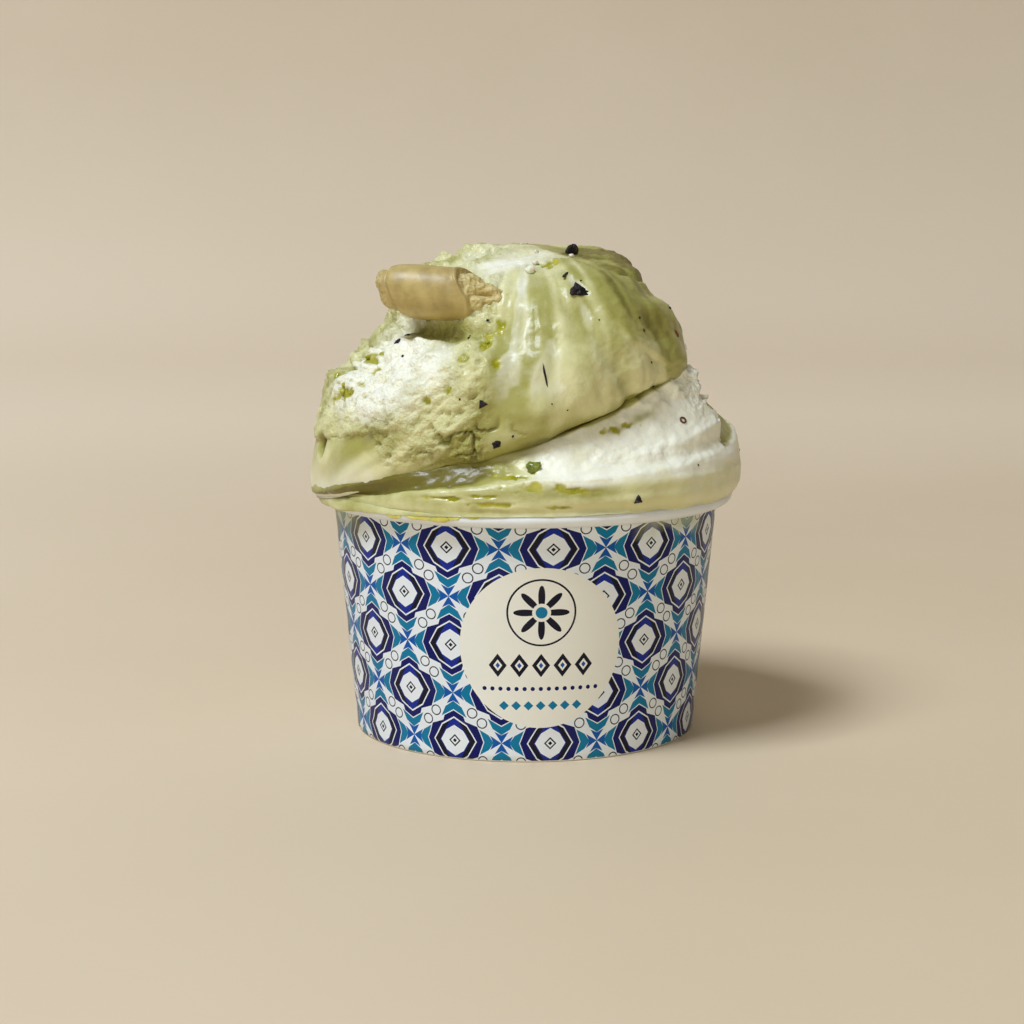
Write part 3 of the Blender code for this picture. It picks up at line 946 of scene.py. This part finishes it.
def low_fold_relief(form):
    """The low fold's relief in millimetres and its tints: a smooth side, a rolled edge, and a slanting face
    that is torn and crumbly towards the peak at the right. Some tints are painted shade by the crease."""
    a, z, face, side = form.degrees, form.height, form.on_face, form.on_side
    patch, cells, layers = form.patch, form.noise, form.layers
    row = np.arange(len(z))[:, None]
    front_right = span(a, -12, 12, 115, 150)
    torn = face * (patch((65, 75), (9, 5), 3) + 0.2 * patch((34, 64), (18, 2.2), 3))
    torn = np.clip(torn * (0.8 + 0.6 * cells(4, 61)), 0, 1)
    back = face * ease(np.abs(a), 105, 140)
    torn = np.clip(torn + back * 0.5 * ease(cells(10, 62), 0, 0.5), 0, 1)
    swipes = noise(as_points(form.azimuth * 3, z / 1.5, 0), 64) * np.cos(form.azimuth / 2) ** 2
    lumps, crumbs = layers(2.2, 3, 66), crest(layers(1.4, 2, 70) * 0.7)
    rolled = bell(row - EDGE_ROW, 7) * front_right * ease(a, 74, 58)

    # The torn nub at the right stands on a ledge that breaks off raggedly, with the sunk part beyond it.
    broken = a + 5 * cells(2.2, 71) + 2.5 * cells(0.9, 73)
    ledge = face * ease(form.up_face, 0.12, 0.35) * ease(a, 34, 62) * ease(broken, 73, 70)
    beyond = face * ease(broken, 70, 73) * ease(a, 140, 110)
    nub = face * patch((69, 76), (7, 3.5))
    teeth = ease(form.up_face, 0.7, 1) * span(a, 26, 50, 95, 125)

    # At the left the face is filled out towards the crease, which is glossy and dark olive: partly the wet
    # glaze's colour, partly painted shade under the tall fold.
    filled = face * ease(form.up_face, 0.25, 0.85) * span(a, -110, -90, -42, -22)
    left_crease = face * bell(form.up_face - 0.55, 0.45) * span(a, -100, -62, -20, 2)
    left_lip = side * span(a, -140, -120, -60, -40)
    relief = 0.5 * cells(8, 63) - 0.5 * left_lip + 0.24 * swipes * side + 0.15 * lumps * (0.5 + face)
    relief += 0.6 * rolled + torn * (0.45 * crumbs + 0.5 * lumps - 0.1) + 2.4 * ledge - 0.9 * beyond
    relief += 1.6 * nub + 1.8 * teeth * np.clip(cells(2, 72) + 0.3, -0.2, 1)
    stains = spots(form, LOW_SYRUP)
    relief += 2.2 * filled - 0.5 * left_crease - 0.3 * stains
    form.finish(relief * form.free)

    marble = noise(as_points(4 * np.sin(form.azimuth), 4 * np.cos(form.azimuth), z / 3), 75)
    under_edge = side * patch((10, 57.6), (30, 1.6), 3)
    # Painted shade: the face is darker olive and less white next to the crease, under the tall fold's
    # overhang.
    painted_crease_shade = face * ease(form.up_face, 0.9, 1)
    # Painted shade: the upper part of the face at the front right, under the tall fold, is a little greener
    # and less white.
    inner = face * front_right * ease(form.up_face, 0.3, 0.6) * ease(a, 64, 46)
    streak = face * bell(form.up_face - 0.76 - 0.003 * (a - 30), 0.06) * span(a, 22, 30, 42, 52)
    green = 0.28 + 0.34 * marble + 0.05 * side - 0.2 * (face + side) * front_right + 0.4 * under_edge
    # The sunk part beyond the ledge is olive: partly its own colour, partly painted shade.
    green += 0.3 * span(a, -170, -120, -30, 0) + 2.1 * left_crease + 0.9 * beyond
    green += 0.1 * inner + 0.5 * streak + 1.2 * painted_crease_shade * front_right
    white = form.above_side * front_right * (0.9 + 0.3 * cells(3.5, 76)) + 0.3 * torn + 0.6 * ledge
    white += 0.4 * side * span(a, 24, 60, 90, 120) - 0.8 * beyond - 0.1 * inner
    white -= left_crease + painted_crease_shade + 0.5 * streak
    wet = torn * ease(crumbs, 0.3, 0) * 0.4
    return tints(green, white, np.clip(torn + 0.3 * beyond, 0, 1), stains, wet)


# The roll of almond paste.
CHUNK_LENGTH = 30
CHUNK_HEIGHT = 11.6
CHUNK_DEPTH = 11
CHUNK_MIDDLE = (-16.2, -25.2, 96)
CHUNK_TILT = 4
CHUNK_TURN = -12
CHUNK_GRID = 220


def tilted(points, turn, tilt):
    """Points turned about the upright axis after being tilted about the one that faces away."""
    turn, tilt = np.radians(turn), np.radians(tilt)
    lean = np.array([[np.cos(tilt), 0, np.sin(tilt)], [0, 1, 0], [-np.sin(tilt), 0, np.cos(tilt)]])
    spin = np.array([[np.cos(turn), -np.sin(turn), 0], [np.sin(turn), np.cos(turn), 0], [0, 0, 1]])
    return points @ (spin @ lean).T


def make_chunk(material):
    """A flattened roll: blunt and folded over at its outer end, torn open and drawn to a point at its inner
    end. Each ring is a lumpy ellipse whose size follows the roll's length."""
    along = np.linspace(-0.995, 0.995, CHUNK_GRID)[:, None]
    angle = ring_azimuths(CHUNK_GRID)[None, :]
    girth = (1 - np.abs(np.clip(along, -1, 0)) ** 6) ** 0.5 * (1 - np.clip(along, 0, 1) ** 1.7) ** 0.75
    squash = 1 + 0.05 * np.cos(2 * angle + 0.6) + 0.03 * np.cos(3 * angle)
    y = np.cos(angle) * girth * squash * CHUNK_DEPTH / 2
    z = np.sin(angle) * girth * squash * CHUNK_HEIGHT / 2
    x = along * CHUNK_LENGTH / 2 + np.clip(1.5 - z, 0, 7) * 0.5 * ease(along, -0.3, -1)
    form = Surface(as_points(x, y, z))

    # Past a wavy seam it is torn open, with a lip along the seam and a hole near the point.
    seam = 0.27 + 0.12 * np.sin(angle * 2 + 0.5) + 0.02 * form.noise(2, 81)
    torn = ease(along - seam, 0, 0.03)
    lumps, crumbs = form.layers(2.6, 3, 82), 1 - np.abs(form.layers(1.5, 2, 85))
    hole = bell(along - 0.56, 0.13) * bell(angle - np.radians(168), 0.2)
    relief = 0.12 * form.noise(5, 87) + 0.3 * bell(along - seam + 0.03, 0.03)
    relief += torn * (0.3 * crumbs + 0.6 * lumps - 0.1) * ease(along, 1, 0.85)
    relief -= 0.9 * torn * ease(along, 0.95, 0.6) + 2.4 * hole * (0.8 + 0.6 * lumps)

    # The outer end is folded over, with a groove where the fold starts.
    outer_fold = ease(along, -0.83, -0.95)
    relief += outer_fold * (0.6 * lumps + 0.5) * ease(along, -1, -0.97)
    relief -= 0.6 * bell(along + 0.83 + 0.03 * np.sin(angle), 0.04)
    shaped = form.points + form.normal * relief[..., None]
    shaped = tilted(shaped, CHUNK_TURN, CHUNK_TILT) + CHUNK_MIDDLE
    attributes = {"torn": np.clip(0.7 * torn + 0.6 * outer_fold, 0, 1)}
    chunk = grid_piece("paste_roll", [within_box(shaped)], [material], attributes=attributes)
    return settle(chunk, "almond_paste", "almond_chunk")


# Small toppings, all of one kind in one mesh: azimuth, height, (length, width, thickness) and turn. They lie
# above FREE_ROW, the first row clear of the seat, or above DOME_ROW, on the tall fold's dome.
FREE_ROW = 12
DOME_ROW = 40
CANDIED_BITS = [(2.3, 62.2, (3.6, 2.4, 1.8), 10)]
GREEN_CRUMBS = [(-61.3, 75.2, (1.8, 1.3, 1.1), 20), (-63, 76.4, (1.3, 1.1, 1), 60),
                (-58.5, 74.2, (1.5, 1, 1), 0), (-61.3, 82.8, (1.8, 1, 0.9), -35),
                (-78.8, 77.6, (2, 1.8, 1.8), 0), (-13.4, 87.8, (1.3, 0.9, 0.5), 60),
                (140, 88, (1.9, 1.4, 1.1), 30), (-160, 82, (2, 1.4, 1.1), 80)]
WHITE_CRUMBS = [(-60, 105.2, (2.6, 1.7, 1.3), 10), (2.6, 100.6, (2.2, 1.8, 1.6), 0),
                (5, 102, (1.4, 1.1, 0.9), 30), (84, 80, (1.8, 2.4, 1.6), 10),
                (-59.5, 77, (1.9, 2.4, 1.2), 10), (12, 104.4, (1.2, 0.9, 0.8), 50),
                (40, 103.4, (1.6, 1, 0.9), 0), (-170, 100, (2, 1.5, 1.2), 0)]
BROWN_SPOTS = [(60.4, 87.2, (1.1, 1.7, 0.7), 0), (39.6, 88.6, (0.9, 0.8, 0.4), 0)]
# Drips on the rolled rim: azimuth, angle on the roll, and size.
RIM_DRIPS = [(-29, 8, (6.5, 1.6, 0.35)), (-23, -2, (4.6, 1.4, 0.35)), (-19, 12, (3.2, 1, 0.3)),
             (-37, 0, (4, 1.5, 0.35)), (-14, 20, (2.6, 0.8, 0.25)), (150, 0, (5, 1.6, 0.4))]


def local_axes(normal, turn):
    """Three unit axes at a place: along the surface at a turn in degrees from level, across it, and out."""
    level = np.cross([0, 0, 1], normal)
    level = level / max(np.linalg.norm(level), 1e-6)
    up = np.cross(normal, level)
    turn = np.radians(turn)
    along = level * np.cos(turn) + up * np.sin(turn)
    return np.array([along, np.cross(normal, along), normal])


def lump(place, normal, size, turn, sink, rough, seed, rings=14, columns=22):
    """A rounded lump: an ellipsoid with noise on its radius, set on a surface and sunk in by a share."""
    up = np.radians(np.linspace(-84, 84, rings))[:, None]
    about = ring_azimuths(columns)[None, :]
    ball = as_points(np.cos(up) * np.cos(about), np.cos(up) * np.sin(about), np.sin(up))
    ball = ball * (1 + rough * layered(ball * 1.6 + seed * 7.3, 3, seed))[..., None]
    centre = place + normal * size[2] * (0.5 - sink)
    return centre + (ball * np.array(size) / 2) @ local_axes(normal, turn)


def topping(name, form, items, material, low_row, rough, sink):
    """A joined mesh of lumps, set on a fold above one of its rows."""
    grids = []
    for number, (azimuth, height, size, turn) in enumerate(items):
        place, normal = form.nearest(azimuth, height, low_row)
        grids.append(within_box(lump(place, normal, size, turn, sink, rough, number + len(name))))
    return settle(grid_piece(name, grids, [material]))


def shard(place, normal, corners, thickness, turn):
    """A broken flake, thinner at its border: the outline's corners, in millimetres along and across, with two
    more points to each edge, nudged in and out by noise and carried through five rings."""
    corners = np.array(corners, float)
    after = np.roll(corners, -1, axis=0)
    outline = np.stack([corners, (2 * corners + after) / 3, (corners + 2 * after) / 3], axis=1).reshape(-1, 2)
    nudge = noise(np.column_stack([outline * 1.7, np.full(len(outline), thickness * 9)]), 95)
    rings = []
    for grow, lift in ((0.8, -0.5), (1, -0.15), (0.97, 0.2), (0.78, 0.5), (0.4, 0.62)):
        height = lift * thickness * (1 + 0.6 * np.roll(nudge, 2))
        rings.append(np.column_stack([outline * grow * (1 + 0.22 * nudge[:, None]), height]))
    return place + np.array(rings) @ local_axes(normal, turn)


def make_shards(tall, low, material):
    """Dark flakes: a large three-cornered one with a stem on the tall fold, a sliver, and chips."""
    big = [(-2.3, -1.2), (0.2, -1.4), (3.3, -1.5), (1.6, 0.3), (-0.2, 1.9), (-1.2, 0.8)]
    stem = [(-0.25, -1.8), (0.25, -1.8), (0.2, 1.6), (-0.05, 2), (-0.3, 1.2)]
    sliver = [(-0.1, -2.6), (0.15, -2.5), (0.3, 0.3), (0.05, 2.7), (-0.2, 1.2)]
    chip = [(-0.9, -0.6), (0.7, -0.8), (1, 0.3), (0.1, 0.9), (-0.8, 0.5)]
    long_chip = [(-1.9, -0.6), (0.4, -0.9), (1.8, 0.1), (0.6, 0.8), (-1.2, 0.7)]
    three = [(-1, -0.8), (1.1, -0.9), (0.1, 1.1)]
    plan = [(tall, 19, 96.2, big, 0.9, -8, 0.1), (tall, 17, 98.8, stem, 0.4, 12, 0.1),
            (tall, 5.6, 80.4, sliver, 0.3, 10, -0.05), (tall, 63, 104, long_chip, 2.2, 10, 0.4),
            (tall, -8.5, 67, chip, 0.8, 24, -0.1), (tall, -12.2, 75.1, three, 0.6, 30, 0),
            (tall, -56, 88.6, long_chip, 0.9, 35, 0.2), (tall, -50.1, 85.6, chip, 0.6, 70, 0),
            (low, 29.6, 55.6, three, 0.9, 4, 0.1), (low, 120, 60, chip, 0.7, 40, 0.1),
            (tall, 150, 84, three, 0.8, 20, 0.1), (tall, -150, 78, long_chip, 0.8, -30, 0.1),
            (tall, 175, 96, chip, 0.7, 65, 0.1)]
    grids = []
    for form, azimuth, height, outline, thickness, turn, lift in plan:
        place, normal = form.nearest(azimuth, height, FREE_ROW)
        grids.append(within_box(shard(place + normal * lift, normal, outline, thickness, turn)))
    return settle(grid_piece("chocolate_flakes", grids, [material], flat=True))


def make_specks(tall, low, material):
    """Fine dark specks, strewn thinly with a fixed seed over both folds."""
    random = np.random.default_rng(8)
    grids = []
    for form, count, heights in ((tall, 46, (66, 102)), (low, 12, (54, 63))):
        for _ in range(count):
            place, normal = form.nearest(random.uniform(-180, 180), random.uniform(*heights), FREE_ROW)
            size = random.uniform(0.25, 0.6) * np.array([1.4, 1, 0.7])
            turn = random.uniform(0, 180)
            speck = lump(place, normal, size, turn, sink=0.3, rough=0.15, seed=9, rings=5, columns=6)
            grids.append(within_box(speck))
    return settle(grid_piece("dark_specks", grids, [material]))


def make_seed_ring(low, material):
    """A small brown ring lying on the low fold's face: a circle carried round a circle."""
    place, normal = low.nearest(53, 68.8, FREE_ROW)
    across, about = ring_azimuths(12)[:, None], ring_azimuths(28)[None, :]
    radius = 0.62 + 0.2 * np.cos(across)
    ring = as_points(radius * np.cos(about), radius * np.sin(about), 0.2 * np.sin(across))
    ring = place + normal * 0.15 + ring @ local_axes(normal, 20)
    return settle(grid_piece("seed_ring", [ring], [material], tips=False, joined=True))


def make_rim_drips(material):
    """Thin melted drops that have run onto the rolled rim."""
    grids = []
    for number, (azimuth, angle, size) in enumerate(RIM_DRIPS):
        place = turned(*rim_point(angle), np.radians(azimuth))
        outward = turned(np.cos(np.radians(angle)), np.sin(np.radians(angle)), np.radians(azimuth))
        grids.append(lump(place, outward, size, turn=0, sink=0.5, rough=0.2, seed=number + 90))
    return settle(grid_piece("rim_drips", grids, [material]), "gelato")


def make_gelato():
    gelato = gelato_finish()
    tall, low = tall_fold_surface(), low_fold_surface()
    for name, form, relief, node in (("gelato_tall_fold", tall, tall_fold_relief, "gelato_upper"),
                                     ("gelato_low_fold", low, low_fold_relief, "gelato_lower")):
        attributes = relief(form)
        settle(grid_piece(name, [form.shaped], [gelato], attributes=attributes), "gelato", node)
    return tall, low


def make_toppings(tall, low):
    chocolate = simple_finish("dark_chocolate", ink(44, 36, 36), ink(26, 19, 21), 0.4, 500, 0.0001, IOR=1.46,
                              Specular_IOR_Level=0.3)
    syrup = simple_finish("green_syrup", ink(176, 176, 40), ink(140, 144, 14), 0.06, 300, 0.00002,
                          IOR=1.42, Subsurface_Weight=0.4, Subsurface_Scale=0.0012, Coat_Weight=0.5)
    candied = simple_finish("candied_green", ink(140, 150, 46), ink(88, 98, 20), 0.14, 420, 0.00008,
                            IOR=1.45, Subsurface_Weight=0.3, Subsurface_Scale=0.0008, Coat_Weight=0.4)
    crumb = simple_finish("white_crumb", ink(246, 243, 226), ink(232, 226, 198), 0.3, 600, 0.00012,
                          IOR=1.4, Subsurface_Weight=0.4, Subsurface_Scale=0.001)
    brown = simple_finish("brown_seed", ink(126, 72, 38), ink(86, 44, 24), 0.25, 500, 0.00005, IOR=1.45)
    drip = simple_finish("melted_drip", ink(228, 216, 128), ink(206, 190, 70), 0.1, 300, 0.00002,
                         IOR=1.4, Subsurface_Weight=0.3, Subsurface_Scale=0.001)
    make_shards(tall, low, chocolate)
    make_specks(tall, low, chocolate)
    make_seed_ring(low, brown)
    topping("candied_bits", low, CANDIED_BITS, candied, FREE_ROW, rough=0.35, sink=0.2)
    topping("green_crumbs", tall, GREEN_CRUMBS, syrup, FREE_ROW, rough=0.25, sink=0.4)
    topping("white_crumbs", tall, WHITE_CRUMBS, crumb, DOME_ROW, rough=0.25, sink=0.25)
    topping("brown_spots", tall, BROWN_SPOTS, brown, FREE_ROW, rough=0.15, sink=0.4)
    make_rim_drips(drip)


# Where it stands, how it is lit, and where it is seen from, in metres and degrees.
FLOOR_FRONT = -1.6
FLOOR_BACK = 0.9
BEND_RADIUS = 0.7
BACKDROP_TOP = 3.2
BACKDROP_HALF_WIDTH = 2.6
LIT_MIDDLE = (0, 0, 0.05)
LENS = 86.1
CAMERA_PLACE = (-0.0029, -0.530, 0.127)
CAMERA_DIP = 8.6

def backdrop_finish():
    """Matt paper, faintly mottled, with painted light: paler where it starts to bend up and towards the left.
    """
    material, tree, shader = new_material("backdrop_paper", Roughness=0.62)
    mottle, fine = grain(tree, 6, 30)
    across, back = split(tree, object_places(tree))
    leftwards, far = (across * -1).smooth(-0.1, 0.5), back.smooth(0.25, 0.65)
    before_bend = back.smooth(1.55, 1.05)
    # Painted light: a paler share towards the left and where the floor starts to bend up.
    paler = far * before_bend * (leftwards * 0.3 + 0.74) + leftwards * (far * -0.9 + 0.9)
    paper = mixed(tree, mottle.smooth(0.3, 0.7), ink(221, 200, 167), ink(217, 196, 162))
    dress(tree, shader, mixed(tree, paler, paper, ink(246, 227, 198)), fine, 0.00002)
    return material


def make_stage():
    """A floor that curves up into a backdrop: two straights and a quarter circle, drawn out sideways."""
    bend = np.radians(np.linspace(0, 90, 24))
    curve = np.column_stack([FLOOR_BACK + BEND_RADIUS * np.sin(bend), BEND_RADIUS * (1 - np.cos(bend))])
    profile = [(FLOOR_FRONT, 0), *curve, (FLOOR_BACK + BEND_RADIUS, BACKDROP_TOP)]
    x = np.linspace(-BACKDROP_HALF_WIDTH, BACKDROP_HALF_WIDTH, 9)
    points = np.array([[(across, back, up) for across in x] for back, up in profile]).reshape(-1, 3)
    rows, columns = len(profile), len(x)
    corner = (np.arange(rows - 1)[:, None] * columns + np.arange(columns - 1)).ravel()
    faces = as_points(corner, corner + 1, corner + columns + 1, corner + columns)
    mesh = bpy.data.meshes.new("backdrop")
    mesh.from_pydata(points.tolist(), [], faces.tolist())
    mesh.materials.append(backdrop_finish())
    mesh.shade_smooth()
    backdrop = bpy.data.objects.new("backdrop", mesh)
    bpy.context.scene.collection.objects.link(backdrop)


def make_light(name, place, size, power, colour):
    """A square soft light that faces the gelato."""
    lamp = bpy.data.lights.new(name, "AREA")
    lamp.size = size
    lamp.energy = power
    lamp.color = colour
    light = bpy.data.objects.new(name, lamp)
    bpy.context.scene.collection.objects.link(light)
    light.location = place
    light.rotation_euler = (Vector(LIT_MIDDLE) - Vector(place)).to_track_quat("-Z", "Y").to_euler()


def make_lights():
    make_light("window", (-1.3, -1.15, 2.75), size=1.1, power=87, colour=(0.9, 1, 1.17))
    make_light("bounce", (0.1, -1.7, 0.5), size=1.2, power=7.6, colour=(1, 0.96, 0.86))
    world = bpy.data.worlds.new("room")
    world.use_nodes = True
    background = world.node_tree.nodes["Background"].inputs
    background["Color"].default_value = (0.98, 1, 1.02, 1)
    background["Strength"].default_value = 0.11
    bpy.context.scene.world = world


def make_camera():
    """A long lens a little above the rim, looking slightly down."""
    camera = bpy.data.cameras.new("camera")
    camera.lens = LENS
    camera.sensor_width = 36
    camera.clip_start = 0.01
    stand = bpy.data.objects.new("camera", camera)
    stand.location = CAMERA_PLACE
    stand.rotation_euler = (math.radians(90 - CAMERA_DIP), 0, 0)
    bpy.context.scene.collection.objects.link(stand)
    bpy.context.scene.camera = stand
    bpy.context.scene.view_settings.view_transform = "Standard"


plain = plain_board()
make_cup_wall(printed_board(), plain)
make_cup_base(plain)
tall_fold, low_fold = make_gelato()
make_chunk(paste_finish())
make_toppings(tall_fold, low_fold)
make_stage()
make_lights()
make_camera()
